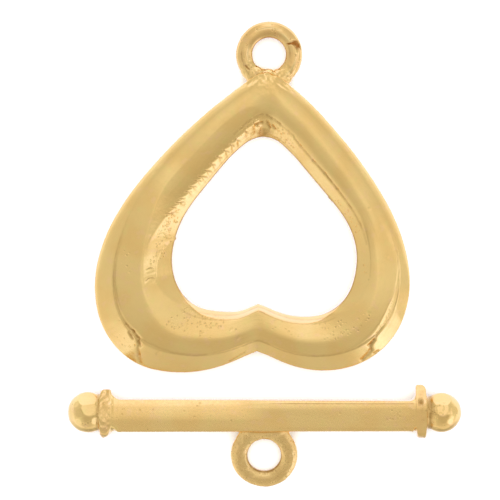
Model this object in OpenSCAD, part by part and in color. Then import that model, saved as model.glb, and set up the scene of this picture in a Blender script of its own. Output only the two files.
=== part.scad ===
// Heart toggle clasp: a heart-shaped ring with a loop on its point, and a loose bar with a loop on its side.
// Both lie on their backs on the plane z = 0, the heart's point towards +Y and the bar below its two lobes.
// The origin is the middle of the whole clasp's footprint, at the height of that plane. Sizes are millimetres.

/* [Heart] */
// Place of the heart's middle across the clasp
heart_x = -0.23; // [-1:0.01:1]
// Place of the heart's middle along the clasp
heart_y = 0.49; // [0:0.01:1]
// Lean of the heart's axis to the right
heart_lean = 1.8; // [0:0.1:4]
// Scale of the heart's thickness
heart_thickness = 1; // [0.8:0.05:1.2]

/* [Heart loop] */
// Place of the loop's middle across the clasp
heart_loop_x = 0.24; // [0:0.01:0.5]
// Place of the loop's middle along the clasp
heart_loop_y = 10.33; // [10.2:0.01:10.5]
// Height of the loop's middle plane
heart_loop_z = 0.9; // [0.6:0.05:1.1]
// Radius of the hole
heart_hole_r = 0.87; // [0.8:0.01:0.95]
// Outer radius of the loop
heart_loop_r = 1.71; // [1.6:0.01:1.8]
// Width of the solder between the loop and the point
heart_solder_l = 2.16; // [1.8:0.02:2.4]
// Radius of that solder
heart_solder_r = 0.8; // [0.6:0.05:0.9]

/* [Bar] */
// Length of the bar over its balls
bar_l = 20.3; // [19.8:0.1:21]
// Width of the rod's squared section
rod_d = 1.62; // [1.4:0.02:1.8]
// Radius of that section's corners
rod_corner_r = 0.14; // [0.05:0.01:0.3]
// Height of the filed front over the rod's axis
front_h = 0.78; // [0.7:0.01:0.8]
// Distance of the front's bevel from the rod's middle line, towards the heart
bevel_start = 0.62; // [0.4:0.02:0.7]
// Tilt of that bevel
bevel_tilt = 31; // [10:1:45]
// Distance of the rod's axis from the axis of the collars, on the side of the loop
rod_drop = 0.17; // [0:0.01:0.3]
// Radius of the cove where the rod meets the left collar
left_cove_r = 0.5; // [0.2:0.05:0.7]
// Radius of the cove where the rod meets the right collar
right_cove_r = 0.3; // [0.2:0.05:0.7]

/* [Bar ends] */
// Diameter of the left ball
left_ball_d = 2.12; // [1.9:0.02:2.3]
// Diameter of the right ball
right_ball_d = 2.06; // [1.9:0.02:2.3]
// Diameter of the left collar
left_collar_d = 2.56; // [2.4:0.02:3]
// Diameter of the right collar
right_collar_d = 2.78; // [2.4:0.02:3]
// Thickness of the left collar
left_collar_w = 0.66; // [0.4:0.02:0.8]
// Thickness of the right collar
right_collar_w = 0.52; // [0.4:0.02:0.8]
// Distance of the left collar's middle from the bar's middle
left_collar_x = 8.2; // [8:0.02:8.4]
// Distance of the right collar's middle from the bar's middle
right_collar_x = 8.05; // [8:0.02:8.4]
// Distance of the left collar's middle from the bar's axis, towards the heart
left_collar_shift = -0.07; // [-0.1:0.01:0.1]
// Distance of the right collar's middle from the bar's axis, towards the heart
right_collar_shift = 0.06; // [-0.1:0.01:0.1]
// Height by which the left collar's filed front stands over the rod's front
left_collar_proud = 0.15; // [0:0.01:0.3]
// Height by which the right collar's filed front stands over the rod's front
right_collar_proud = 0.02; // [0:0.01:0.3]
// Diameter of the neck between the left collar and its ball
left_neck_d = 1.9; // [1.2:0.05:2]
// Diameter of the neck between the right collar and its ball
right_neck_d = 1.65; // [1.2:0.05:2]
// Tilt of the flat that is filed on each ball, on the heart's side
flat_tilt = 40; // [20:1:60]
// Depth of that flat, as a share of the ball's radius
flat_depth = 0.06; // [0:0.01:0.15]

/* [Bar loop] */
// Place of the loop's middle along the bar
bar_loop_x = -0.02; // [-0.5:0.01:0.5]
// Distance of the loop's middle from the rod's axis
bar_loop_arm = 2.13; // [2:0.01:2.3]
// Radius of the hole
bar_hole_r = 0.86; // [0.8:0.01:0.95]
// Outer radius of the loop
bar_loop_r = 1.72; // [1.6:0.01:1.8]
// Width of the solder between the loop and the rod
bar_solder_l = 2.5; // [1.6:0.1:3]
// Radius of that solder
bar_solder_r = 0.38; // [0.3:0.02:0.45]

/* [Hidden] */
$fn = 96;

GOLD = "#E1C07D";
OVER = 0.02;
SOLDER_GAP = 0.03;

// Half size of the space that the bar's front is filed to, more than any part of the bar reaches across
FILE_REACH = 2;

// Wire of each loop: its radius, and the radius of its middle line, a little into the hole's land
LAND_IN = 0.03;
heart_wire_r = (heart_loop_r - heart_hole_r + LAND_IN) / 2;
heart_wire_mid = heart_loop_r - heart_wire_r;
bar_wire_r = (bar_loop_r - bar_hole_r + LAND_IN) / 2;
bar_wire_mid = bar_loop_r - bar_wire_r;

// The heart's solder ends just short of the hole
heart_solder_reach = heart_hole_r + SOLDER_GAP + heart_solder_r;

// The bar lies on its two collars and on the far end of its loop. It droops about its own length until the loop
// touches down, and leans by the difference of its collars.
collar_run = left_collar_x + right_collar_x;
bar_lean = atan((right_collar_d - left_collar_d) / 2 / collar_run);
bar_z = left_collar_d / 2 * cos(bar_lean) + left_collar_x * sin(bar_lean);
bar_reach = rod_drop + bar_loop_arm + bar_wire_mid;
bar_droop = asin((bar_z - bar_wire_r) / bar_reach);
clasp_half_l = heart_loop_y + heart_loop_r;
bar_y = bar_reach * cos(bar_droop) + bar_wire_r - clasp_half_l;

// Outline and form of the heart, clockwise from its point. A row is a place around the ring. Its columns are the
// angle from the point, the inner and the outer edge's distance from the heart's middle, the thickness there, and
// how bevelled the section is: 0 for a rounded section, 1 for one with a flat outer bevel.
RIGHT_SIDE = [
    [0, 5.60, 8.90, 1.85, 0.0],
    [8, 5.46, 8.42, 1.90, 0.0],
    [15, 5.08, 7.90, 1.90, 0.0],
    [30, 4.52, 7.08, 1.95, 0.0],
    [45, 4.30, 6.75, 1.95, 0.1],
    [60, 4.38, 6.72, 1.95, 0.2],
    [75, 4.66, 7.00, 2.00, 0.4],
    [90, 4.95, 7.48, 2.05, 0.7],
    [105, 5.12, 8.04, 2.18, 1.0],
    [120, 5.18, 8.34, 2.25, 1.0],
    [135, 4.85, 8.10, 2.20, 1.0],
    [150, 4.18, 7.33, 2.15, 1.0],
    [165, 3.49, 6.30, 2.05, 1.0],
    [180, 3.03, 5.50, 1.95, 1.0]
];
LEFT_SIDE = [
    [180, 3.03, 5.50, 1.95, 1.0],
    [195, 3.56, 6.45, 2.10, 1.0],
    [210, 4.02, 7.72, 2.20, 1.0],
    [225, 4.56, 8.86, 2.25, 1.0],
    [240, 4.74, 9.16, 2.25, 1.0],
    [255, 4.66, 8.76, 2.20, 1.0],
    [270, 4.43, 8.04, 2.17, 0.8],
    [285, 4.24, 7.35, 2.13, 0.5],
    [300, 4.10, 6.91, 2.05, 0.3],
    [315, 4.12, 6.85, 1.95, 0.1],
    [330, 4.42, 7.09, 1.95, 0.0],
    [345, 5.04, 7.77, 1.90, 0.0],
    [352, 5.40, 8.30, 1.90, 0.0],
    [360, 5.60, 8.90, 1.85, 0.0]
];
STATION_STEP = 3;

// Section of the heart, from the back over the outer edge and the crest to the back again at the inner edge. The
// columns are the share of the width, from the outer edge, and of the thickness in the rounded section, and the
// same two in the bevelled one. The back is flat with rounded edges, and the sides stand nearly upright.
SECTION = [
    [0.12, 0.00, 0.10, 0.00],
    [0.03, 0.12, 0.02, 0.12],
    [0.00, 0.32, 0.00, 0.32],
    [0.00, 0.54, 0.00, 0.52],
    [0.08, 0.76, 0.12, 0.72],
    [0.20, 0.91, 0.26, 0.93],
    [0.34, 0.98, 0.32, 0.98],
    [0.45, 1.00, 0.48, 1.00],
    [0.60, 0.98, 0.66, 0.95],
    [0.74, 0.91, 0.83, 0.82],
    [0.86, 0.74, 0.93, 0.60],
    [1.00, 0.44, 1.00, 0.29],
    [1.00, 0.16, 1.00, 0.14],
    [0.94, 0.00, 0.95, 0.00]
];

// Row before the first or after the last one, in line with the two at that end
function row_at(rows, k) =
    k < 0 ? 2 * rows[0] - rows[1]
    : k >= len(rows) ? 2 * rows[len(rows) - 1] - rows[len(rows) - 2]
    : rows[k];

// Smooth curve from b to c, with a and d as their outer neighbours
function between(a, b, c, d, t) =
    b + t * (c - a) / 2 + t * t * (2 * a - 5 * b + 4 * c - d) / 2 + t * t * t * (3 * b - a - 3 * c + d) / 2;

function segment(rows, angle, k = 0) =
    k >= len(rows) - 2 || angle < rows[k + 1][0] ? k : segment(rows, angle, k + 1);

function station(rows, angle) =
    let (
        k = segment(rows, angle),
        t = (angle - rows[k][0]) / (rows[k + 1][0] - rows[k][0])
    )
    between(row_at(rows, k - 1), rows[k], rows[k + 1], row_at(rows, k + 2), t);

// Point of the heart at one angle, for one row of the section
function heart_point(angle, place, row) =
    let (
        mix = max(0, min(1, place[4])),
        across = row[0] * (1 - mix) + row[2] * mix,
        up = row[1] * (1 - mix) + row[3] * mix,
        r = place[2] + (place[1] - place[2]) * across,
        turn = angle + heart_lean
    )
    [heart_x + r * sin(turn), heart_y + r * cos(turn), up * place[3] * heart_thickness];

module heart_frame() {
    stations = 360 / STATION_STEP;
    sides = len(SECTION);
    points = [
        for (i = [0 : stations - 1])
            let (
                angle = i * STATION_STEP,
                place = station(angle < 180 ? RIGHT_SIDE : LEFT_SIDE, angle)
            )
            for (row = SECTION) heart_point(angle, place, row)
    ];
    faces = [
        for (i = [0 : stations - 1], j = [0 : sides - 1])
            let (
                next_i = (i + 1) % stations,
                next_j = (j + 1) % sides,
                a = i * sides + j,
                b = i * sides + next_j,
                c = next_i * sides + next_j,
                d = next_i * sides + j
            )
            for (face = [[a, c, b], [a, d, c]]) face
    ];
    polyhedron(points, faces);
}

module ring(mid_r, wire_r) {
    rotate_extrude() translate([mid_r, 0]) circle(wire_r);
}

// A run of solder with round ends, along X
module solder(length, radius) {
    run = length - 2 * radius;
    translate([-run / 2, 0, 0]) rotate([0, 90, 0]) cylinder(r = radius, h = run);
    for (side = [-1, 1]) translate([side * run / 2, 0, 0]) sphere(radius);
}

module heart_ring() {
    color(GOLD)
        difference() {
            union() {
                heart_frame();
                translate([heart_loop_x, heart_loop_y, heart_loop_z])
                    ring(heart_wire_mid, heart_wire_r);
                translate([heart_loop_x, heart_loop_y - heart_solder_reach, heart_solder_r + OVER])
                    solder(heart_solder_l, heart_solder_r);
            }
            translate([heart_loop_x, heart_loop_y, -1])
                cylinder(r = heart_hole_r, h = 4);
        }
}

// A collar with a rounded rim, its middle at the origin and its axis along X
module collar(diameter, width) {
    rotate([0, 90, 0])
        rotate_extrude() {
            translate([0, -width / 2]) square([diameter / 2 - width / 2, width]);
            translate([diameter / 2 - width / 2, 0]) circle(width / 2);
        }
}

// Its children, placed on the rod's axis and turned back level from the bar's droop
module on_rod_axis() {
    translate([0, -rod_drop, 0]) rotate([-bar_droop, 0, 0]) children();
}

// All that lies behind the bar's filed front: level as far as the bevel, which falls towards the heart
module behind_front(proud) {
    top = front_h + proud;
    edge = top - (FILE_REACH - bevel_start) * tan(bevel_tilt);
    translate([-bar_l / 2, 0, 0])
        rotate([90, 0, 90])
            linear_extrude(bar_l)
                polygon([
                    [-FILE_REACH, -FILE_REACH],
                    [FILE_REACH, -FILE_REACH],
                    [FILE_REACH, edge],
                    [bevel_start, top],
                    [-FILE_REACH, top]
                ]);
}

// A ball with a flat filed on the heart's side of its front
module ball(diameter) {
    difference() {
        sphere(d = diameter);
        rotate([-bar_droop - flat_tilt, 0, 0])
            translate([-diameter / 2, -diameter / 2, diameter / 2 * (1 - flat_depth)])
                cube(diameter);
    }
}

// One end of the bar, reaching along +X: the collar with its filed front, the neck and the ball
module bar_end(collar_x, collar_d, collar_w, ball_d, neck_d, shift, proud) {
    ball_x = bar_l / 2 - ball_d / 2;
    intersection() {
        on_rod_axis() behind_front(proud);
        translate([collar_x, shift * cos(bar_droop), -shift * sin(bar_droop)])
            collar(collar_d, collar_w);
    }
    translate([collar_x, 0, 0]) rotate([0, 90, 0]) cylinder(d = neck_d, h = ball_x - collar_x);
    translate([ball_x, 0, 0]) ball(ball_d);
}

// The hollow flare where the rod runs into a collar, its wide end at the origin and its axis along -X
module cove(radius) {
    rotate([0, -90, 0])
        rotate_extrude()
            difference() {
                square([rod_d / 2 + radius / 2, radius]);
                translate([rod_d / 2 + radius, radius]) circle(radius);
            }
}

// The squared bar between the collars, with rounded corners
module squared_bar() {
    flat = rod_d - 2 * rod_corner_r;
    translate([-left_collar_x, -rod_d / 2, -flat / 2]) cube([collar_run, rod_d, flat]);
    translate([-left_collar_x, -flat / 2, -rod_d / 2]) cube([collar_run, flat, rod_d]);
    for (across = [-1, 1], up = [-1, 1])
        translate([-left_collar_x, across * flat / 2, up * flat / 2])
            rotate([0, 90, 0])
                cylinder(r = rod_corner_r, h = collar_run);
}

module rod() {
    intersection() {
        behind_front(0);
        union() {
            squared_bar();
            translate([right_collar_x - right_collar_w / 2, 0, 0]) cove(right_cove_r);
            translate([left_collar_w / 2 - left_collar_x, 0, 0]) mirror([1, 0, 0]) cove(left_cove_r);
        }
    }
}

module right_end() {
    bar_end(right_collar_x, right_collar_d, right_collar_w, right_ball_d, right_neck_d, right_collar_shift,
            right_collar_proud);
}

module left_end() {
    mirror([1, 0, 0])
        bar_end(left_collar_x, left_collar_d, left_collar_w, left_ball_d, left_neck_d, left_collar_shift,
                left_collar_proud);
}

module toggle_bar() {
    color(GOLD)
        translate([0, bar_y, bar_z])
            rotate([bar_droop, -bar_lean, 0])
                difference() {
                    union() {
                        right_end();
                        left_end();
                        on_rod_axis() rod();
                        translate([bar_loop_x, -rod_drop - bar_loop_arm, 0])
                            ring(bar_wire_mid, bar_wire_r);
                        translate([bar_loop_x, -rod_drop - bar_loop_arm + bar_wire_mid, 0])
                            solder(bar_solder_l, bar_solder_r);
                    }
                    translate([bar_loop_x, -rod_drop - bar_loop_arm, -1])
                        cylinder(r = bar_hole_r, h = 2);
                }
}

heart_ring();
toggle_bar();
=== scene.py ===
"""The looks of a gold-plated heart toggle clasp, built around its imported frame.

Lengths are millimetres in the row's frame: +Y towards the heart's point, +Z up, and z = 0 the surface that
both pieces lie on. MM turns them into the scene's metres. The meshes are grids of points: a section swept
round the heart, a turned profile for the bar, and wire for the loops.
"""

import math

import bpy
import numpy as np
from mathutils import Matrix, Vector
from mathutils.bvhtree import BVHTree


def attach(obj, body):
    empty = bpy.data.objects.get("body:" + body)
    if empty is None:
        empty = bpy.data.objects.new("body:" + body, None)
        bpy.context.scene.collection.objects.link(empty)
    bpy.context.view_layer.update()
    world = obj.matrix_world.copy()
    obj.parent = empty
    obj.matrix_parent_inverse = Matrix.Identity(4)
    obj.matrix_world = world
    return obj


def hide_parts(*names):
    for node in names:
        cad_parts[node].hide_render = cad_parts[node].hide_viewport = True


MM = 0.001

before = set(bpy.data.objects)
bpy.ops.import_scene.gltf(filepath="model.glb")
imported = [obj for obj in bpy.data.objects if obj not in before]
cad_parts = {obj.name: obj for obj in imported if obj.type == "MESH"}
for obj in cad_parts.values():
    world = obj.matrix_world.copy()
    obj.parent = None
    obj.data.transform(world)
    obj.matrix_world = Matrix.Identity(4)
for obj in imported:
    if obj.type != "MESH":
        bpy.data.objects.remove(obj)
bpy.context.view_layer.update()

# Heart: the middle and the lean of the frame that its outline is given in
HEART_MIDDLE = (-0.23, 0.49)
HEART_LEAN = 1.8

# A row is a place round the heart, clockwise from its point. Tilts are degrees from level, positive where
# the skin faces outward. Columns are the angle; the distances of the inner and the outer edge from the
# heart's middle; the thickness; the bevel's width and tilt; the tilt of the top at the bevel and at the
# ridge; the ridge's share of the width; and the tilt of the inner face at the ridge and at the wall.
RIGHT_SIDE = np.array([
    [0, 5.6, 8.9, 1.85, 0.4, 39, 4, -12, 0.6, -14, -26],
    [3.5, 5.565, 8.7, 1.87, 0.4, 39, 10, -15, 0.62, -17, -28],
    [8, 5.46, 8.42, 1.9, 0.4, 39, 22, -18, 0.64, -20, -30],
    [15, 5.08, 7.9, 1.9, 0.38, 39, 22, -20, 0.66, -22, -32],
    [30, 4.52, 7.1, 1.95, 0.36, 39, 22, -17, 0.66, -20, -33],
    [45, 4.3, 6.745, 1.95, 0.36, 39, 22, -17, 0.66, -20, -33],
    [60, 4.38, 6.72, 1.95, 0.38, 39, 24, -16, 0.66, -20, -32],
    [75, 4.66, 7, 2, 0.4, 39, 24, -12, 0.64, -16, -30],
    [90, 4.95, 7.48, 2.05, 0.49, 38, 12, 2, 0.62, -3, -18],
    [105, 5.12, 8.04, 2.18, 0.58, 37, 8, 3, 0.6, -2, -15],
    [120, 5.18, 8.34, 2.25, 0.62, 38, 9, 4, 0.57, -3, -11],
    [135, 4.85, 8.1, 2.2, 0.82, 36, 9, 7, 0.54, -11, -13],
    [150, 4.18, 7.33, 2.15, 0.74, 34, 9, 8, 0.54, -13, -14],
    [165, 3.49, 6.3, 2.05, 0.62, 34, 9, 8, 0.54, -10, -12],
    [173, 3.19, 5.75, 1.98, 0.56, 34, 9, 7, 0.53, -4, -7],
    [180, 3.03, 5.46, 1.95, 0.54, 34, 9, 6, 0.53, 1, -2],
])
LEFT_SIDE = np.array([
    RIGHT_SIDE[-1],
    [187, 3.24, 5.84, 2, 0.58, 34, 9, 7, 0.53, -4, -7],
    [195, 3.56, 6.45, 2.1, 0.7, 34, 9, 8, 0.55, -10, -12],
    [210, 4.02, 7.72, 2.2, 0.9, 35, 9, 7, 0.57, -13, -14],
    [225, 4.56, 8.86, 2.25, 1.1, 37, 12, 5, 0.56, -9, -12],
    [240, 4.74, 9.16, 2.25, 1.04, 38, 12, 5, 0.59, -7, -10],
    [255, 4.66, 8.76, 2.2, 0.98, 38, 9, 7, 0.61, -15, -17],
    [270, 4.43, 8.04, 2.17, 0.76, 38, 13, 6, 0.6, -18, -22],
    [285, 4.24, 7.35, 2.13, 0.55, 38, 18, 3, 0.53, -19, -24],
    [300, 4.1, 6.92, 2.05, 0.42, 39, 20, 1, 0.42, -12, -26],
    [315, 4.12, 6.835, 1.95, 0.38, 39, 20, 2, 0.41, -7, -26],
    [330, 4.42, 7.105, 1.95, 0.38, 39, 20, 2, 0.41, -7, -26],
    [345, 5.04, 7.77, 1.9, 0.38, 39, 20, 3, 0.39, -8, -24],
    [352, 5.4, 8.3, 1.9, 0.4, 39, 21, 0, 0.42, -8, -24],
    [356.5, 5.54, 8.64, 1.87, 0.4, 39, 10, -6, 0.5, -10, -25],
    [360, *RIGHT_SIDE[0, 1:]],
])
# Three planes cut the inner edge: the left limb's facet, a gentle wall and a steep one. The columns are the
# angle, the width and the tilt.
LEFT_FACET = np.array([
    [0, 0, 36], [247, 0, 13], [248, 1.46, 13], [252, 1.46, 15], [258, 1.45, 18], [264, 1.36, 24],
    [270, 1.22, 33], [276, 1.02, 36], [285, 0.79, 36], [293, 0.65, 36], [300, 0.57, 36], [330, 0.5, 36],
    [345, 0.46, 37], [352, 0.56, 38], [357, 0.8, 38], [359, 0.84, 38], [360, 0, 38],
])
GENTLE_WALL = np.array([
    [0, 0.9, 38], [8, 0.78, 38], [15, 0.64, 38.5], [30, 0.56, 38.5], [75, 0.54, 38.5], [90, 0.62, 38],
    [105, 0.7, 38], [118, 0.62, 38.5], [126, 0.4, 38.5], [134, 0, 38.5], [226, 0, 38.5], [232, 0.4, 38.5],
    [240, 0.7, 38], [250, 0.92, 38], [258, 0.78, 38], [265, 0.54, 38], [270, 0.18, 38], [272, 0, 38],
    [355, 0, 38], [358, 0.82, 38], [360, 0.9, 38],
])
STEEP_WALL = np.array([
    [0, 0, 66], [120, 0, 66], [127, 0.06, 66], [134, 0.15, 67], [142, 0.34, 68], [150, 0.38, 68],
    [165, 0.33, 70], [180, 0.3, 70], [195, 0.35, 70], [210, 0.4, 68], [218, 0.33, 68], [225, 0.18, 67],
    [232, 0.08, 66], [242, 0, 66], [360, 0, 66],
])

# Strokes that the bevel was ground in: the degrees that it leans more or less than in those tables
BEVEL_STROKES = np.array([
    [0, 0], [103, 0], [109.5, 2.5], [111.5, 2.5], [113.5, -2.5], [130, -2.5], [131.5, 0], [142, 0], [224, 0],
    [228.5, 0], [230.5, 2], [238, 2], [241, 0], [360, 0],
])
# Degrees by which those strokes start later at the rim
STROKE_SLANT = 4
# The rim: the width over which it turns into the bevel, its tilt, and how much its edge curls
RIM = np.array([
    [0, 0.44, 46, 8], [80, 0.4, 46, 8], [95, 0.26, 46, 6], [106, 0.1, 38, 2], [130, 0.1, 36, 0],
    [228, 0.1, 37, 0], [238, 0.12, 40, 4], [248, 0.28, 45, 6], [262, 0.4, 46, 8], [360, 0.44, 46, 8],
])
CURL_WIDTH = 0.06

# A sliver beside the bevel: the angle, the share of the width that it takes, and its tilt
SLIVER = np.array([
    [96, 0, 36], [106, 0.06, 36], [114, 0.12, 36], [119, 0.12, 34], [124, 0.1, 28], [130, 0.07, 20],
    [137, 0.03, 14], [142, 0, 10],
])

# Burrs on the inner edge: angle, half width in degrees and length
BURRS = ((272.4, 0.7, 0.07), (54.0, 0.9, 0.05), (56.2, 0.6, 0.04))
# Torn edge of the left limb: its angles, the height and width of its swelling, the range of its teeth's
# spacing in degrees and reach in millimetres, and the part of its spacing where a tooth is longest
TORN_ANGLES = (284.0, 355)
TORN_HEIGHT, TORN_WIDTH = 0.24, 0.3
TOOTH_SPACING, TOOTH_REACH, TOOTH_PEAK = (3.2, 5.8), (0.10, 0.28), 0.82

# Slope by which a cutting plane stays clear of the front before its start, and its rounded corner's height
CLEAR_OF_FRONT, WALL_SOFT = 6.0, 0.006
# Degrees from the point and the cusp where the outline keeps its corner, and where the front is softened
SHARP, SOFTENED = (14, 16), (4, 14)
# Blur of the outline, of the softened front, of the walls, of the front's tilts and of the soft ridge's
OUTLINE_BLUR, CORNER_BLUR, WALL_BLUR, FRONT_BLUR, RIDGE_BLUR = 8, 6, 5, 6, 20
# Share, half width and power of the soft ridge, and the angles where it begins, is full, wanes and ends
SOFT_RIDGE, SOFT_RIDGE_ANGLES = (0.56, 0.12, 4), (122, 134, 236, 250)

# Counts of points round the heart and across its front, walls, rounded edges and back, and of the shares
# that the front is worked out on. Columns of points crowd by so much, at that share, over that half width.
STATIONS, FRONT_SIDES, WALL_SIDES, EDGE_SIDES, BACK_SIDES, FINE_SHARES = 960, 66, 6, 5, 4, 601
CROWDED = ((1.2, 0.22, 0.08), (1.5, 1, 0.05), (2.0, 0, 0.05))
# Radius of the rounding at the back's outer edge and at its inner one
BACK_EDGE, BACK_INNER_EDGE = 0.30, 0.14


def direction(azimuth, elevation):
    a, e = math.radians(azimuth), math.radians(elevation)
    return (math.cos(a) * math.cos(e), math.sin(a) * math.cos(e), math.sin(e))


def spline(rows, at):
    """The columns of the rows at each angle, on a smooth curve through every row."""
    ends = np.vstack([2 * rows[0] - rows[1], rows, 2 * rows[-1] - rows[-2]])
    k = np.clip(np.searchsorted(rows[:, 0], at, side="right") - 1, 0, len(rows) - 2)
    a, b, c, d = ends[k], ends[k + 1], ends[k + 2], ends[k + 3]
    step = (c - b)[:, :1]
    t = (at[:, None] - b[:, :1]) / step
    slope_b = (c - a) / (c - a)[:, :1] * step
    slope_c = (d - b) / (d - b)[:, :1] * step
    squared_part = t**2 * (3 * (c - b) - 2 * slope_b - slope_c)
    cubed_part = t**3 * (slope_b + slope_c - 2 * (c - b))
    return b + t * slope_b + squared_part + cubed_part


def table_at(table, angles):
    """Every column of a table after its first one, at each angle."""
    return [np.interp(angles, table[:, 0], column)[:, None] for column in table.T[1:]]


def ease(x, low, high):
    """0 below low, 1 above high, smooth between."""
    t = np.clip((x - low) / (high - low), 0, 1)
    return t * t * (3 - 2 * t)


def bell(x, at, half, power=2):
    """1 at that place, fading on both sides of it within a few half widths."""
    return np.exp(-(((x - at) / half) ** power))


def bell_weights(reach, spread):
    """Weights of a blur over that many neighbours on both sides."""
    weights = np.exp(-0.5 * (np.arange(-reach, reach + 1) / spread) ** 2)
    return weights / weights.sum()


def smooth_along(grid, spread):
    """The grid smoothed along its first, closed axis."""
    reach = int(3 * spread)
    return sum(w * np.roll(grid, k - reach, 0) for k, w in enumerate(bell_weights(reach, spread)))


def blurred(rows, spread):
    """Each row smoothed along itself."""
    reach = 4 * spread
    padded = np.pad(rows, ((0, 0), (reach, reach)), mode="edge")
    return np.stack([np.convolve(row, bell_weights(reach, spread), "valid") for row in padded])


def noise(points, wavelength, seed):
    """Smooth noise between -1 and 1 at points in millimetres, the same on every run."""
    size = 32
    table = np.random.default_rng(seed).uniform(-1, 1, (size, size, size))
    scaled = points / wavelength
    cell = np.floor(scaled).astype(int)
    part = scaled - cell
    part = part * part * (3 - 2 * part)
    total = np.zeros(points.shape[:-1])
    for corner in range(8):
        step = np.array([corner & 1, corner >> 1 & 1, corner >> 2 & 1])
        weight = np.prod(np.where(step == 1, part, 1 - part), axis=-1)
        index = (cell + step) % size
        total += weight * table[index[..., 0], index[..., 1], index[..., 2]]
    return total


def waves(points, layers):
    """The sum of layers of that noise, each given as a height, a wavelength and a seed."""
    return sum(height * noise(points, wavelength, seed) for height, wavelength, seed in layers)


def grid_normals(points, place, facing):
    """Unit normals of a grid that is closed both ways. The one at that place faces that way."""
    along = np.roll(points, -1, 0) - np.roll(points, 1, 0)
    across = np.roll(points, -1, 1) - np.roll(points, 1, 1)
    normals = np.cross(along, across)
    normals = normals / np.maximum(np.linalg.norm(normals, axis=-1, keepdims=True), 1e-12)
    return normals if normals[place] @ np.array(facing) > 0 else -normals


def near_angle(angles, place, reach):
    """1 at that angle round the heart, fading to 0 at reach degrees from it."""
    off = np.abs((angles - place + 180) % 360 - 180)
    return 1 - ease(off, 0, reach)


def near_corners(angles, reaches):
    """1 at the heart's point and at its cusp, fading to 0 at those degrees from them."""
    return np.maximum(near_angle(angles, 0, reaches[0]), near_angle(angles, 180, reaches[1]))[:, None]


def heart_places(angles):
    """The rows of both sides' tables at each angle, evened out except near the point and the cusp."""
    right = angles < 180
    places = np.empty((len(angles), RIGHT_SIDE.shape[1]))
    places[right] = spline(RIGHT_SIDE, angles[right])
    places[~right] = spline(LEFT_SIDE, angles[~right])
    sharp = near_corners(angles, SHARP)
    return places * sharp + smooth_along(places, OUTLINE_BLUR) * (1 - sharp)


def smooth_min(a, b, soft):
    """The lower of two heights, with the corner between them rounded over a height of soft."""
    h = np.clip(0.5 + 0.5 * (b - a) / soft, 0, 1)
    return b + (a - b) * h - soft * h * (1 - h)


def cut_wall(front, even, table, width, angles, torn):
    """The front's heights after the plane of that table has cut off the inner edge."""
    cut, tilt = (smooth_along(column, WALL_BLUR) for column in table_at(table, angles))
    fall = np.tan(np.radians(tilt))
    start = 1 - cut / width
    height = np.array([np.interp(at, even[0], row) for at, row in zip(start[:, 0], front)])[:, None]
    inward = (even - start) * width
    plane = height - inward * np.where(inward > 0, fall, CLEAR_OF_FRONT)
    plane += torn * tooth_reach(angles)[:, None] * bell(inward, 0, TORN_WIDTH)
    return smooth_min(front, plane, WALL_SOFT)


def tooth_places():
    """Angle, spacing and reach of each tooth of the left limb's torn edge."""
    random = np.random.default_rng(11)
    places = []
    angle, end = TORN_ANGLES
    while angle < end:
        spacing = random.uniform(*TOOTH_SPACING)
        places.append((angle, spacing, random.uniform(*TOOTH_REACH)))
        angle += spacing
    return places


def tooth_reach(angles):
    """How far inward the torn edge reaches at each angle. Each tooth grows, and then breaks off."""
    reach = np.zeros(len(angles))
    for angle, spacing, long in tooth_places():
        part = (angles - angle) / spacing
        reach = np.maximum(reach, long * np.minimum(part / TOOTH_PEAK, (1 - part) / (1 - TOOTH_PEAK)))
    return reach


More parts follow.
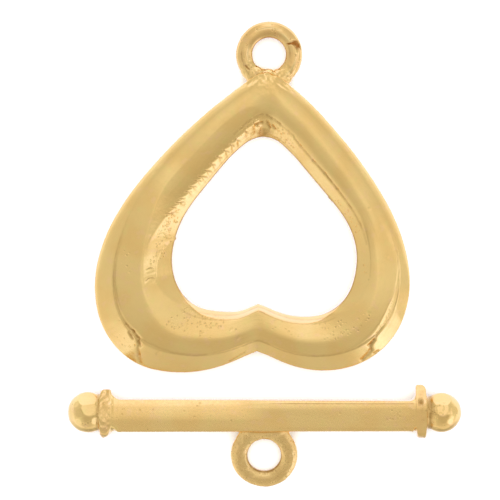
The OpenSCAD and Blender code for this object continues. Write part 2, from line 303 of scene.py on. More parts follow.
def heart_grid():
    """The heart's points, station by station, with each point's share across and each station's angle."""
    angles = np.arange(STATIONS) * 360 / STATIONS
    columns = heart_places(angles)[:, 1:].T[..., None]
    inner, outer, thick, bevel_w, bevel_tilt, top_a, top_b, ridge, face_a, face_b = columns
    middle = (inner + outer) / 2
    turn = np.radians(360 / STATIONS)
    slant = np.arctan2((np.roll(middle, -1) - np.roll(middle, 1)) / 2, middle * turn)
    width = (outer - inner) * np.cos(slant)
    bevel_end = bevel_w / width
    wall_start = 1 - np.maximum(table_at(GENTLE_WALL, angles)[0], table_at(STEEP_WALL, angles)[0]) / width

    # Tilt of the front, on fine even shares
    even = np.linspace(0, 1, FINE_SHARES)[None]
    on_top = np.clip((even - bevel_end) / (ridge - bevel_end), 0, 1)
    on_face = np.clip((even - ridge) / (wall_start - ridge), 0, 1.0)
    tilt = np.where(even < ridge, top_a + (top_b - top_a) * on_top, face_a + (face_b - face_a) * on_face)
    late = angles[:, None] - STROKE_SLANT * (1 - np.clip(even / bevel_end, 0, 1))
    strokes = np.interp(late, BEVEL_STROKES[:, 0], BEVEL_STROKES[:, 1])
    rim_w, rim_tilt, curl = table_at(RIM, angles)
    rim = 1 - ease(even * width, 0, rim_w)
    tilt = np.where(even < bevel_end, (bevel_tilt + strokes) * (1 - rim) + rim_tilt * rim, tilt)
    tilt += curl * bell(even * width, 0, CURL_WIDTH)
    sliver, sliver_tilt = table_at(SLIVER, angles)
    past_bevel = even - bevel_end - 0.01
    tilt = np.where((past_bevel > 0) & (past_bevel < sliver), sliver_tilt, tilt)
    begin, full, wane, end = SOFT_RIDGE_ANGLES
    soft_angles = ease(angles, begin, full) * (1 - ease(angles, wane, end))
    soft_ridge = bell(even, *SOFT_RIDGE) * soft_angles[:, None]
    tilt = blurred(tilt, FRONT_BLUR) * (1 - soft_ridge) + blurred(tilt, RIDGE_BLUR) * soft_ridge

    # Height of the front, then cut by the three planes, on columns that crowd where it bends most
    slope = np.tan(np.radians(tilt))
    rise = np.diff(even, axis=1) * (slope[:, 1:] + slope[:, :-1]) / 2 * width
    body = np.concatenate([np.zeros((STATIONS, 1)), np.cumsum(rise, axis=1)], axis=1)
    body += thick - body.max(axis=1, keepdims=True)
    for table, torn in ((LEFT_FACET, TORN_HEIGHT), (GENTLE_WALL, 0), (STEEP_WALL, 0)):
        body = cut_wall(body, even, table, width, angles, torn)
    dense = 1 + sum(more * bell(even[0], at, half) for more, at, half in CROWDED)
    run = np.concatenate([[0], np.cumsum((dense[1:] + dense[:-1]) / 2)])
    picked = np.interp(np.linspace(0, run[-1], FRONT_SIDES + 1), run, even[0])
    height = np.stack([np.interp(picked, even[0], row) for row in body])

    # Shares and heights all round the section: front, inner wall, back with its rounded edges, outer wall
    one = np.ones((STATIONS, 1))
    foot = np.linspace(0, 1, WALL_SIDES + 1)[1:-1]
    arc = np.linspace(0, math.pi / 2, EDGE_SIDES + 1)
    back = np.linspace(0, 1, BACK_SIDES + 1)[1:-1]
    section = (
        (np.broadcast_to(picked, height.shape), height),
        (one * np.ones(len(foot)), height[:, -1:] * (1 - foot) + BACK_INNER_EDGE * foot),
        (one - BACK_INNER_EDGE / width * (1 - np.cos(arc)), one * BACK_INNER_EDGE * (1 - np.sin(arc))),
        ((1 - BACK_INNER_EDGE / width) * (1 - back) + BACK_EDGE / width * back, one * np.zeros(len(back))),
        (BACK_EDGE / width * (1 - np.sin(arc)), one * BACK_EDGE * (1 - np.cos(arc))),
        (one * np.zeros(len(foot)), BACK_EDGE * (1 - foot) + height[:, :1] * foot),
    )
    share, z = (np.hstack(column) for column in zip(*section))

    radius = outer + (inner - outer) * share
    for angle, half, long in BURRS:
        radius -= long * bell(angles[:, None], angle, half) * ease(share, 0.96, 1.0)
    leaning = np.radians(angles + HEART_LEAN)[:, None]
    x = HEART_MIDDLE[0] + radius * np.sin(leaning)
    y = HEART_MIDDLE[1] + radius * np.cos(leaning)
    points = np.stack([x, y, z], axis=-1)

    blend = (near_corners(angles, SOFTENED) * np.sin(np.pi * np.clip(share, 0, 1)) ** 0.7)[..., None]
    points = points * (1 - blend) + smooth_along(points, CORNER_BLUR) * blend
    return smooth_along(points, 1.0), share, angles


# Marks on the heart's front. Places are an angle round the heart and a share from its outer to its inner
# edge. Columns of a groove: the angle and share of its two ends, its half width and its depth. Its depth
# also sets how dark the painted shade along it is.
GROOVES = (
    (121.5, 0.27, 125, 0.235, 0.05, 0.012), (125, 0.245, 128, 0.2, 0.05, 0.02),
    (128, 0.2, 130.6, 0.18, 0.08, 0.045), (130.4, 0.17, 131.6, 0.11, 0.07, 0.03),
    (131.6, 0.1, 136.5, 0.04, 0.08, 0.022), (130, 0.02, 131.8, 0.03, 0.06, 0.014),
    (223.5, 0.02, 226, 0.1, 0.06, 0.012), (226, 0.1, 228.6, 0.2, 0.06, 0.018),
    (186.5, 0.09, 194, 0.03, 0.03, 0.012), (228.4, 0.215, 230.5, 0.26, 0.08, 0.06),
    (230.5, 0.27, 234, 0.28, 0.09, 0.075), (232, 0.22, 234.5, 0.235, 0.06, 0.04),
    (234, 0.28, 237.5, 0.265, 0.07, 0.04), (16, 0.738, 20, 0.765, 0.05, 0.02),
    (20, 0.765, 30, 0.765, 0.05, 0.02), (30, 0.765, 40, 0.75, 0.05, 0.024),
    (40, 0.75, 52, 0.752, 0.05, 0.028), (52, 0.752, 66, 0.758, 0.05, 0.026),
    (66, 0.758, 80, 0.762, 0.05, 0.018), (80, 0.762, 88, 0.775, 0.05, 0.01),
    (345, 0.715, 350, 0.7, 0.05, 0.01), (350, 0.7, 355, 0.66, 0.05, 0.014),
    (355, 0.66, 359, 0.64, 0.05, 0.016), (1, 0.65, 4, 0.69, 0.05, 0.02), (1.5, 0.76, 3, 0.84, 0.08, 0.035),
    (356, 0.79, 359, 0.77, 0.07, 0.035), (3.5, 0.68, 8, 0.715, 0.06, 0.024),
    (8, 0.725, 15.5, 0.715, 0.045, 0.016), (4, 0.8, 5.6, 0.83, 0.05, 0.03),
)
# Columns of a dent: the angle and share of its middle, its half lengths round and across the heart, its
# depth, and the height of its raised rim
DENTS = (
    (250.1, 0.71, 0.19, 0.27, 0.012, 0.007), (255.3, 0.718, 0.15, 0.21, 0.01, 0.006),
    (104.6, 0.78, 0.1, 0.1, 0.016, 0), (93.4, 0.41, 0.1, 0.1, 0.01, 0), (120.3, 0.55, 0.09, 0.09, 0.01, 0),
    (197, 0.68, 0.1, 0.1, 0.012, 0), (191.3, 0.455, 0.12, 0.12, 0.01, 0),
    (221.3, 0.235, 0.1, 0.14, 0.012, 0.002), (290.2, 0.865, 0.07, 0.07, 0.02, 0),
    (283.8, 0.925, 0.08, 0.08, 0.014, 0), (304, 0.14, 0.09, 0.09, 0.012, 0),
    (313.8, 0.14, 0.08, 0.08, 0.014, 0), (69.8, 0.415, 0.08, 0.08, 0.012, 0),
    (41.5, 0.17, 0.08, 0.08, 0.012, 0),
)
# How much the raised rims bend, and how dark the painted shadow on one side of each is, for each millimetre
# of their height
ARCH, RIM_PAINTED_SHADOW = 8.0, 120
# Columns of a pitted patch: the angles and the shares that bound it, and how thickly it is pitted
PITTED = (
    (128, 144, 0.5, 0.86, 0.4), (154, 164, 0.48, 0.74, 0.35), (163, 178, 0.56, 0.86, 0.12),
    (203, 229, 0.58, 0.94, 0.5), (183, 197, 0.58, 0.84, 0.15), (254, 263, 0.7, 0.86, 0.55),
    (262, 272, 0.74, 0.93, 0.85), (270, 289, 0.74, 0.97, 0.7), (286, 300, 0.82, 0.99, 0.35),
    (254, 269, 0.33, 0.52, 0.15), (96, 108, 0.74, 0.93, 0.3), (119, 133, 0.48, 0.66, 0.3),
    (108, 122, 0.22, 0.32, 0.6), (227, 241, 0.04, 0.24, 0.2), (3, 17, 0.74, 0.96, 0.4),
    (344, 360, 0.64, 0.84, 0.5), (58, 82, 0.78, 0.96, 0.25),
)
# Depth from which a groove is wholly darkened by painted shade, and the part of a tooth's spacing and the
# depth of its notch
GROOVE_SHADE_DEPTH, NOTCH_PART, NOTCH_DEPTH = 0.035, 0.86, 0.022
# Shares of two filed lines along the bottom, their half width and depth, and the distance of the limbs'
# line of painted shade from the inner edge
FILED_LINES, LINE_HALF, LINE_DEPTH, LIMB_LINE = (0.862, 0.945), 0.028, 0.012, 0.13
# The crease at the bevel's end: its share, how marked it is and its half width, each at some angles
CREASE = np.array([
    [0, 0.15], [80, 0.17], [90, 0.19], [105, 0.205], [118, 0.24], [130, 0.265], [150, 0.275], [165, 0.25],
    [180, 0.245], [200, 0.275], [223, 0.31], [240, 0.26], [250, 0.255], [270, 0.23], [283, 0.19], [300, 0.16],
    [360, 0.15],
])
CREASE_DEEP = np.array([
    [0, 0.1], [78, 0.15], [90, 0.7], [120, 1], [240, 1], [265, 0.7], [285, 0.15], [360, 0.1],
])
CREASE_HALF = np.array([
    [0, 0.045], [130, 0.05], [140, 0.04], [222, 0.04], [232, 0.08], [262, 0.08], [280, 0.05], [360, 0.045],
])


def heart_marks(points, share, angles):
    """How far each point of the heart's front is pushed out, how dark its painted shade is and how pitted it
    is.
    """
    front = FRONT_SIDES + 1
    share = share[:, :front]
    middle = points[:, front // 2]
    step = np.linalg.norm(np.roll(middle, -1, 0) - np.roll(middle, 1, 0), axis=1) / (2 * 360 / STATIONS)
    width = np.linalg.norm(points[:, 0, :2] - points[:, front - 1, :2], axis=1)
    from_inside = (1 - share) * width[:, None]
    push = np.zeros(share.shape)
    stain_and_shade_marks = []

    def local(angle, at):
        turn = (angles - angle + 180) % 360 - 180
        return (turn * step)[:, None] + 0 * share, (share - at) * width[:, None]

    wobble = noise(points[:, :front], 0.16, 5)
    # Each groove is cut in and darkened along its middle by painted shade
    for angle_a, share_a, angle_b, share_b, half, depth in GROOVES:
        du, dv = local(angle_a, share_a)
        k = int(angle_a / 360 * STATIONS)
        end_u, end_v = (angle_b - angle_a) * step[k], (share_b - share_a) * width[k]
        t = np.clip((du * end_u + dv * end_v) / (end_u**2 + end_v**2), 0, 1)
        groove = bell(np.hypot(du - t * end_u, dv - t * end_v) + 0.3 * half * wobble, 0, half)
        push -= depth * groove * (1 + 0.5 * wobble)
        stain_and_shade_marks.append(groove * min(1, depth / GROOVE_SHADE_DEPTH))
    for angle, at, half_round, half_across, depth, rim in DENTS:
        du, dv = local(angle, at)
        gap = np.hypot((du + ARCH * rim * (dv / half_across) ** 2) / half_round, dv / half_across)
        push += rim * bell(gap, 1.3, 0.3) - depth * bell(gap, 0, 1, 4)
        # Painted shadow on one side of each dent's raised rim
        stain_and_shade_marks.append(RIM_PAINTED_SHADOW * rim * bell(gap, 1, 0.17) * ease(du / half_round, 0, 0.6))
    pitted = np.zeros(share.shape)
    for low, high, share_low, share_high, thick in PITTED:
        across = ease(share, share_low - 0.02, share_low + 0.06)
        across = across * (1 - ease(share, share_high - 0.06, share_high + 0.02))
        along = ease(angles, low - 2, low + 3) * (1 - ease(angles, high - 3, high + 2))
        pitted = np.maximum(pitted, thick * across * along[:, None])
    random = np.random.default_rng(23)
    for angle, spacing, long in tooth_places():
        turn = angle + NOTCH_PART * spacing
        facet = np.interp(turn, LEFT_FACET[:, 0], LEFT_FACET[:, 1]) / width[int(turn / 360 * STATIONS)]
        du, dv = local(turn, 1 - facet)
        reach = long * random.uniform(0.8, 1.6)
        before = random.uniform(0.04, 0.10)
        t = np.clip((du + dv) / 2, -before, reach)
        gap = np.hypot(du - t, dv - t)
        notch = bell(gap, 0, random.uniform(0.028, 0.042)) * (1 - np.abs(t) / reach * 0.5)
        # Each notch is cut in and darkened by painted shade
        push -= NOTCH_DEPTH * notch
        stain_and_shade_marks.append(notch)

    # The crease at the bevel's end and two filed lines along the bottom, each cut in and darkened by painted
    # shade, and painted shade along the limbs' line, along the inner edge and in the inner corner at the
    # point
    crease_at, crease_deep, crease_half = (table_at(t, angles)[0] for t in (CREASE, CREASE_DEEP, CREASE_HALF))
    crease = bell((share - crease_at) * width[:, None] + 0.02 * wobble, 0, crease_half) * crease_deep
    push -= 0.3 * crease_half * crease
    stain_and_shade_marks.append(0.3 * crease)
    bottom = (ease(angles, 130, 136) * (1 - ease(angles, 226, 232)))[:, None]
    for at in FILED_LINES:
        line = bell((share - at) * width[:, None] + 0.012 * wobble, 0, LINE_HALF) * bottom
        push -= LINE_DEPTH * line
        stain_and_shade_marks.append(0.35 * line)
    # Painted shade: a line along the limbs, a line along the inner edge and the inner corner at the point
    limbs = (near_angle(angles, 12, 16) + near_angle(angles, 330, 30))[:, None]
    stain_and_shade_marks.append(0.45 * limbs * bell(from_inside + 0.012 * wobble, LIMB_LINE, LINE_HALF))
    stain_and_shade_marks.append(0.8 * bell(from_inside, 0, 0.05) * (1 - bottom))
    stain_and_shade_marks.append(0.7 * near_angle(angles, 0, 6)[:, None] * ease(share, 0.84, 0.9))
    return push, np.maximum.reduce(stain_and_shade_marks), pitted


def wire_ring(middle, wire_r, worn, lean):
    """A ring of worn wire in the level plane: its points, the turn of each row, its normals and ring_outward.

    Its hole has a land, and its rim is flat. Both are upright once the ring leans that much towards -Y.
    """
    turn = np.arange(LOOP_ROWS) * 2 * np.pi / LOOP_ROWS
    around = np.arange(LOOP_SIDES) * 2 * np.pi / LOOP_SIDES
    wide = np.where(np.cos(around) > 0, *worn) * wire_r
    section = 1 / np.hypot(np.cos(around) / wide, np.sin(around) / wire_r)
    upright = np.abs(np.cos(around) - math.tan(lean) * np.sin(turn)[:, None] * np.sin(around))
    reach = np.where(np.cos(around) < 0, wire_r - LAND_DEPTH, wire_r)
    section = smooth_min(section, reach / np.maximum(upright, 0.1), LAND_SOFT)
    radius = LOOP_MID + section * np.cos(around)
    x = middle[0] + radius * np.cos(turn)[:, None]
    y = middle[1] + radius * np.sin(turn)[:, None]
    z = middle[2] + section * np.sin(around)
    ring = np.stack([x, y, z], axis=-1)
    return ring, turn, grid_normals(ring, (0, 0), ring[0, 0] - np.array(middle)), ring_outward(ring, middle)


def ring_outward(points, middle):
    """Distance of each point outward from the middle of a loop's wire, seen along the loop's axis."""
    return np.hypot(points[..., 0] - middle[0], points[..., 1] - middle[1]) - LOOP_MID


def ring_gap(points, middle, wire_r):
    """Distance of each point from the skin of a loop's wire, negative inside the wire."""
    return np.hypot(ring_outward(points, middle), points[..., 2] - middle[2]) - wire_r


def fillet(gap, reach):
    """How far a skin swells where another body comes within reach of it, as solder does in a joint."""
    return reach / 4 * np.clip(1 - gap / reach, 0, 1) ** 2


def grid_quads(rows, sides, is_ring=True):
    """Faces of a grid that is closed across, and also along where it is a ring."""
    i = np.arange(rows if is_ring else rows - 1)[:, None]
    j = np.arange(sides)[None]
    ni, nj = (i + 1) % rows, (j + 1) % sides
    return np.stack([i * sides + j, ni * sides + j, ni * sides + nj, i * sides + nj], axis=-1).reshape(-1, 4)


def grid_lengths(points, axis):
    """Lengths along one axis of a closed grid, all the way to its first row again."""
    steps = np.linalg.norm(np.roll(points, -1, axis) - points, axis=-1).mean(axis=1 - axis)
    return np.concatenate([[0], np.cumsum(steps)])


def add_object(name, data):
    placed = bpy.data.objects.new(name, data)
    bpy.context.collection.objects.link(placed)
    return placed


def make_piece(name, points, masks, material, is_ring=True):
    """A smooth mesh from a grid of points in millimetres, with its masks and a map of lengths on its skin."""
    rows, sides = points.shape[:2]
    faces = grid_quads(rows, sides, is_ring)
    along, across = grid_lengths(points, 0), grid_lengths(points, 1)
    i, j = np.divmod(np.arange(len(faces)), sides)
    steps = ((0, 0), (1, 0), (1, 1), (0, 1))
    corners = [np.stack([along[i + di], across[j + dj]], -1) for di, dj in steps]
    corners = np.stack(corners, axis=1).reshape(-1, 2)
    faces = faces.tolist()
    if not is_ring:
        around = np.arange(sides)
        faces += [around[::-1].tolist(), (around + (rows - 1) * sides).tolist()]
        first = np.stack([0 * around, across[around[::-1]]], -1)
        last = np.stack([0 * around + along[rows - 1], across[around]], -1)
        corners = np.concatenate([corners, first, last])
    mesh = bpy.data.meshes.new(name)
    mesh.from_pydata((points.reshape(-1, 3) * MM).tolist(), [], faces)
    mesh.polygons.foreach_set("use_smooth", np.ones(len(mesh.polygons), bool))
    skin = mesh.uv_layers.new(name="skin")
    skin.data.foreach_set("uv", corners.reshape(-1).astype(np.float32))
    for key, values in masks.items():
        layer = mesh.attributes.new(key, "FLOAT", "POINT")
        values = np.ascontiguousarray(np.broadcast_to(values, (rows, sides)), dtype=np.float32)
        layer.data.foreach_set("value", values.reshape(-1))
    mesh.materials.append(material)
    mesh.update()
    return add_object(name, mesh)


# Heart's loop: its middle, outer radius and wire radius, and how far solder reaches from its joint
HEART_LOOP = (0.24, 10.33, 0.9)
HEART_LOOP_R, HEART_WIRE, SOLDER_REACH = 1.71, 0.435, 0.55
# Radius of the middle line of both loops' wire, and the counts of points along and round it
LOOP_MID, LOOP_ROWS, LOOP_SIDES = 1.275, 288, 96
# Streaks that wear has left on both loops, each lit by a painted highlight: the turns where each begins and
# ends, its distance outward from the wire's middle line, its half width and its height. One that is cut in is
# darkened along its middle by painted shade.
HEART_LOOP_STREAKS = (
    (150, 206, -0.17, 0.035, -0.012), (300, 358, 0.11, 0.06, 0.01), (62, 122, 0.08, 0.035, -0.012),
    (20, 70, -0.05, 0.07, 0.012), (225, 300, 0.2, 0.05, 0.006),
)
BAR_LOOP_STREAKS = (
    (-50, 40, 0.215, 0.04, 0.008), (150, 232, -0.29, 0.035, 0.006), (255, 285, -0.24, 0.04, 0.008),
    (10, 60, -0.25, 0.04, 0.006),
)
# How much flatter than round each wire has been worn, on its outer half and on its inner one
HEART_WIRE_WORN, BAR_WIRE_WORN = (1.06, 1.22), (1.25, 1.22)
# How deep the land round each hole is cut into the wire, and how soft its border is
LAND_DEPTH, LAND_SOFT = 0.03, 0.02
# Where the ends of the heart's wire meet: the turn, lean, jags and depth of that seam. A nick has a turn, a
# half length and a depth.
SEAM_AT, SEAM_LEAN, SEAM_JAG, SEAM_DEPTH = 24, 22, 7, 0.07
NICK_AT, NICK_HALF, NICK_DEPTH = 212, 6.5, 0.05
SOLDER_WAVES = ((0.035, 0.30, 3), (0.024, 0.12, 4))


def streaks_and_painted_light(streaks, degrees, outward, on_front):
    """How far a loop's streaks push its skin out, how much painted highlight lightens them, and how much
    painted shade darkens the middle of the cut ones.
    """
    push = 0 * outward
    pale = 0 * outward
    dark = 0 * outward
    for start, end, at, half, high in streaks:
        off = (degrees - (start + end) / 2 + 180) % 360 - 180
        along = np.clip(1 - np.abs(off) / (end - start) * 2, 0, 1) ** 0.5 * on_front
        line = along * bell(outward, at, half)
        push += high * line
        if high < 0:
            dark = np.maximum(dark, line)
            line = along * bell(outward, at, 2 * half)
        pale = np.maximum(pale, line)
    return push, pale, dark


def gap_from_heart(loop, turn, heart_points):
    """Distance of each point of the heart's loop from the heart's skin, negative inside the heart."""
    quads = grid_quads(*heart_points.shape[:2])
    tree = BVHTree.FromPolygons(heart_points.reshape(-1, 3).tolist(), quads.tolist())
    above = Vector((0, 6.5, 9))
    spot, normal, _, _ = tree.find_nearest(above)
    outside = math.copysign(1, (above - spot).dot(normal))
    gap = np.full(loop.shape[:2], 9.0)
    for i in np.flatnonzero(np.sin(turn) <= 0.2):
        for j in range(loop.shape[1]):
            spot, normal, _, distance = tree.find_nearest(Vector(loop[i, j]))
            side = outside * (Vector(loop[i, j]) - spot).dot(normal)
            gap[i, j] = distance if side > 0 else -distance
    return gap


def heart_body(gold):
    """The cast heart. Returns its piece and its points."""
    points, share, angles = heart_grid()
    front = FRONT_SIDES + 1
    normals = grid_normals(points, (0, front // 2), (0, 0, 1))
    push, stain_and_shade, pitted = (np.zeros(points.shape[:2]) for _ in range(3))
    # On the heart, that darkening mask holds only painted shade
    push[:, :front], stain_and_shade[:, :front], pitted[:, :front] = heart_marks(points, share, angles)
    push += waves(points, ((0.007, 1.7, 1), (0.0025, 0.55, 2)))
    gap = ring_gap(points, HEART_LOOP, HEART_WIRE)
    wet = 1 - ease(gap, 0.15, 1.0)
    push += fillet(gap, SOLDER_REACH) + wet * waves(points, SOLDER_WAVES)
    rough_tip = near_angle(angles, 2, 17)[:, None] * ease(share, 0.66, 0.72) * (share < 1.001)
    push += rough_tip * waves(points, ((0.005, 0.16, 10), (0.003, 0.08, 11)))
    wet = np.maximum(wet, 0.25 * rough_tip)
    points = points + normals * push[..., None]
    points[..., 2] = np.maximum(points[..., 2], 0)
    return make_piece("heart_skin", points, {"stain_and_shade": stain_and_shade, "wet": wet, "pitted": pitted}, gold), points


def heart_loop(gold, heart_points):
    """The wire loop on the heart's point, with the seam where its ends meet."""
    loop, turn, normals, outward = wire_ring(HEART_LOOP, HEART_WIRE, HEART_WIRE_WORN, 0)
    gap = gap_from_heart(loop, turn, heart_points)
    wet = 1 - ease(gap, 0.2, 1.1)
    push = fillet(gap, SOLDER_REACH) + wet * waves(loop, SOLDER_WAVES)
    push += waves(loop, ((0.010, 1.1, 6), (0.007, 0.35, 7)))
    degrees = np.degrees(turn)[:, None]
    # pale is a painted highlight along the streaks, and dark is painted shade along the cut ones
    streaks, pale, dark = streaks_and_painted_light(HEART_LOOP_STREAKS, degrees, outward, loop[..., 2] > HEART_LOOP[2])
    push += streaks

    jag = noise(loop, 0.18, 8)
    on_top = ease(loop[..., 2], 0.5, 1.1)
    seam_at = SEAM_AT - SEAM_LEAN * outward - SEAM_JAG * jag
    seam = bell(degrees, seam_at, 2.5 + 7.0 * ease(outward, -0.2, 0.25), 4) * on_top
    seam *= ease(outward, -0.26, -0.18) * (1 - ease(outward, 0.34, 0.41))
    along = (degrees - NICK_AT) / NICK_HALF
    nick = np.exp(-(along**4) - ((outward - 0.05 + 0.03 * along) / 0.035) ** 2) * on_top
    push -= SEAM_DEPTH * seam * (1 + 0.8 * jag) + NICK_DEPTH * nick
    # The real seam and nick and a random tone, with painted shade along the hole's rim and down the cut
    # streaks
    inner_edge = 1 - ease(outward, -0.42, -0.33)
    stain_and_shade = 1.3 * seam + 1.5 * nick + 0.2 * noise(loop, 0.6, 9) + 0.5 * inner_edge * (1 - wet)
    stain_and_shade = np.clip(np.maximum(stain_and_shade, 0.4 * dark), 0, 1)
    rust = np.clip(seam + 0.6 * nick, 0, 1)
    masks = {"stain_and_shade": stain_and_shade, "wet": wet, "pitted": 0.15, "worn": 0.45 - 0.4 * wet, "dull": -0.3}
    # The pale mask is a painted highlight, kept off the seam
    masks.update({"rust": rust, "pale": pale * (1 - seam)})
    loop = loop + normals * push[..., None]
    loop[..., 2] = np.maximum(loop[..., 2], 0.02)
    return make_piece("heart_loop_skin", loop, masks, gold)


def heart_meshes(gold):
    heart, points = heart_body(gold)
    return [heart, heart_loop(gold, points)]


# Bar, in its own frame: X along its collars' axis, and its rod and loop shifted towards -Y
BAR_LOOP_X, BAR_LOOP_ARM, BAR_WIRE, BAR_SOLDER_REACH = -0.02, 2.13, 0.445, 0.45
ROD_DROP, ROD_LEFT_R, ROD_RIGHT_R = 0.17, 0.83, 0.79
# Distance from the bar's middle, diameter and shift of each collar
LEFT_COLLAR_X, LEFT_COLLAR_D, LEFT_COLLAR_SHIFT = 8.2, 2.56, -0.07
RIGHT_COLLAR_X, RIGHT_COLLAR_D, RIGHT_COLLAR_SHIFT = 8.05, 2.78, 0.05
# Place along the bar and radius of the left ball (-1) and the right one (1)
BALLS = {-1: (-9.09, 1.06), 1: (9.12, 1.03)}
BAR_STATIONS, BAR_SIDES = 600, 160

# The bar lies on its collars and on its loop's far end: its lean and droop, and the place of its middle
BAR_LEAN = math.atan((RIGHT_COLLAR_D - LEFT_COLLAR_D) / 2 / (LEFT_COLLAR_X + RIGHT_COLLAR_X))
BAR_Z = LEFT_COLLAR_D / 2 * math.cos(BAR_LEAN) + LEFT_COLLAR_X * math.sin(BAR_LEAN)
BAR_REACH = ROD_DROP + BAR_LOOP_ARM + LOOP_MID
BAR_DROOP = math.asin((BAR_Z - BAR_WIRE) / BAR_REACH)
DROOP_COS, DROOP_SIN = math.cos(BAR_DROOP), math.sin(BAR_DROOP)
BAR_Y = BAR_REACH * DROOP_COS + BAR_WIRE - (HEART_LOOP[1] + HEART_LOOP_R)


# The bar's front was filed: nearly flat on the right half, crowned on the left one, with a bevel along its
# upper edge. A row is a distance from the rod's middle line towards the heart, with the tilt of the front
# there on the left half and on the right one, in degrees from level, positive where it faces the heart.
CROWN = np.array([
    [-1.6, -16, -16], [-0.95, -12, -12], [-0.82, -4, -4], [-0.25, -4, -3.5], [-0.15, 1, -3.5],
    [0.03, 7, -3.5], [0.13, 9, -3.5], [0.23, 11, -3.5], [0.335, 12.5, -2], [0.4, 14, 4], [0.46, 24, 8],
    [0.54, 27, 10], [0.6, 29, 12], [0.63, 30, 29], [0.71, 31, 30], [1.6, 31, 31],
])
# Height of that front over the rod's axis, and how far it stands proud of this along the bar
FRONT_HEIGHT = 0.78
PROUD = np.array([
    [-8.75, 1], [-8.52, 0.2], [-8.1, 0.12], [-7.75, 0.03], [-7.45, 0], [7.76, 0], [7.8, 0.015], [8.34, 0.015],
    [8.38, 0.3], [8.6, 1],
])
# Power that squares the rod's section
SQUARENESS = 8

# Pitted patches of the bar: place along it, distance from the rod's middle line, radius, how thickly pitted
BAR_PITS = (
    (-3.4, 0.55, 0.4, 0.25), (-1.6, -0.35, 0.3, 0.35), (-7.6, 0.2, 0.6, 0.25), (-5.6, 0.1, 0.5, 0.12),
    (2.6, -0.1, 0.4, 0.3), (6.6, 0, 0.5, 0.4), (8.8, 0.2, 0.6, 0.8), (-8.9, -0.5, 0.5, 0.3),
)

# Facets of the two balls. Columns are the ball (-1 left, 1 right), the azimuth and the tilt that the facet
# faces, and its depth as a share of the ball's radius.
BALL_FACETS = (
    (-1, 92, 48, 0.12), (-1, 72, 15, 0.075), (-1, 178, 22, 0.03), (-1, -46, 32, 0.022), (-1, -132, 38, 0.018),
    (-1, -92, 20, 0.016), (-1, 140, 44, 0.02), (-1, 10, 42, 0.02), (1, 90, 48, 0.12), (1, -48, 36, 0.016),
    (1, 15, 40, 0.03), (1, 170, 24, 0.022), (1, -85, 22, 0.02), (1, 97, 15, 0.075), (1, -130, 42, 0.018),
)


def arc_points(middle, radius, start, end, count):
    """Points of an arc in the plane of the bar's profile. 0 degrees is straight outward."""
    turn = np.radians(np.linspace(start, end, count))
    return [(middle[0] + radius * math.sin(t), middle[1] + radius * math.cos(t)) for t in turn]


def bar_profile():
    """Distance along the bar and radius of each station, from its left end to its right one."""
    profile = arc_points((BALLS[-1][0], 0), BALLS[-1][1], -90, 28, 60)
    profile += [(-8.54, 0.965), (-8.50, 1.02)]
    profile += arc_points((-8.28, 1.07), 0.20, -80, 0, 8)
    profile += arc_points((-8.14, 1.04), 0.23, 0, 80, 8)
    profile += [(-7.88, 1.02), (-7.81, 0.95), (-7.70, 0.89), (-7.55, 0.845), (-7.4, ROD_LEFT_R)]
    rod = np.linspace(-7.2, 7.3, 120)
    profile += list(zip(rod, np.interp(rod, [-7.2, 7.2], [ROD_LEFT_R, ROD_RIGHT_R])))
    profile += [(7.45, 0.79), (7.60, 0.81), (7.71, 0.87), (7.77, 0.96), (7.80, 1.10)]
    profile += arc_points((7.93, 1.25), 0.13, -80, 0, 8)
    profile += arc_points((8.17, 1.24), 0.14, 0, 80, 8)
    profile += [(8.33, 0.98), (8.37, 0.88), (8.47, 0.83)]
    profile += arc_points((BALLS[1][0], 0), BALLS[1][1], -36, 90, 60)
    profile = np.array(profile)
    run = np.concatenate([[0], np.cumsum(np.hypot(*np.diff(profile, axis=0).T))])
    even = np.linspace(0, run[-1], BAR_STATIONS)
    x, r = (np.interp(even, run, column) for column in profile.T)
    for column in (x, r):
        column[4:-4] = np.convolve(column, bell_weights(4, 1.3), "valid")
    return x, np.maximum(r, 0.002)


def to_clasp(points):
    """Points of the bar's own frame, placed in the clasp's frame."""
    x, y, z = np.moveaxis(points, -1, 0)
    y, z = y * DROOP_COS - z * DROOP_SIN, y * DROOP_SIN + z * DROOP_COS
    x, z = x * math.cos(BAR_LEAN) - z * math.sin(BAR_LEAN), x * math.sin(BAR_LEAN) + z * math.cos(BAR_LEAN)
    return np.stack([x, y + BAR_Y, z + BAR_Z], axis=-1)


def squared(across, up):
    """Distance from the rod's axis that is the same all over a section with rounded corners."""
    return (np.abs(across) ** SQUARENESS + np.abs(up) ** SQUARENESS) ** (1 / SQUARENESS)


def filed_front(x, across):
    """Height over the rod's axis that the bar's front was filed down to."""
    fine = np.linspace(CROWN[0, 0], CROWN[-1, 0], 641)
    slope = np.tan(np.radians(np.stack([np.interp(fine, CROWN[:, 0], column) for column in CROWN.T[1:]])))
    fall = np.concatenate([np.zeros((2, 1)), np.cumsum((slope[:, 1:] + slope[:, :-1]) / 2, axis=1)], axis=1)
    fall *= fine[1] - fine[0]
    left, right = (np.interp(across, fine, row - np.interp(0, fine, row)) for row in fall)
    share = ease(x, -1.6, 0.6)
    return FRONT_HEIGHT - left * (1 - share) - right * share + np.interp(x, PROUD[:, 0], PROUD[:, 1])


def cut_balls(body):
    """The bar's points after facets have been cut on its balls."""
    for side, azimuth, tilt, depth in BALL_FACETS:
        middle, radius = BALLS[side]
        facing = np.array(direction(azimuth, 90 - tilt))
        out = (body - np.array([middle, 0, middle * math.sin(BAR_LEAN)])) @ facing
        over = np.maximum(out - radius * (1 - depth), 0) * (side * body[..., 0] > 8.55)
        body = body - over[..., None] * facing
    return body


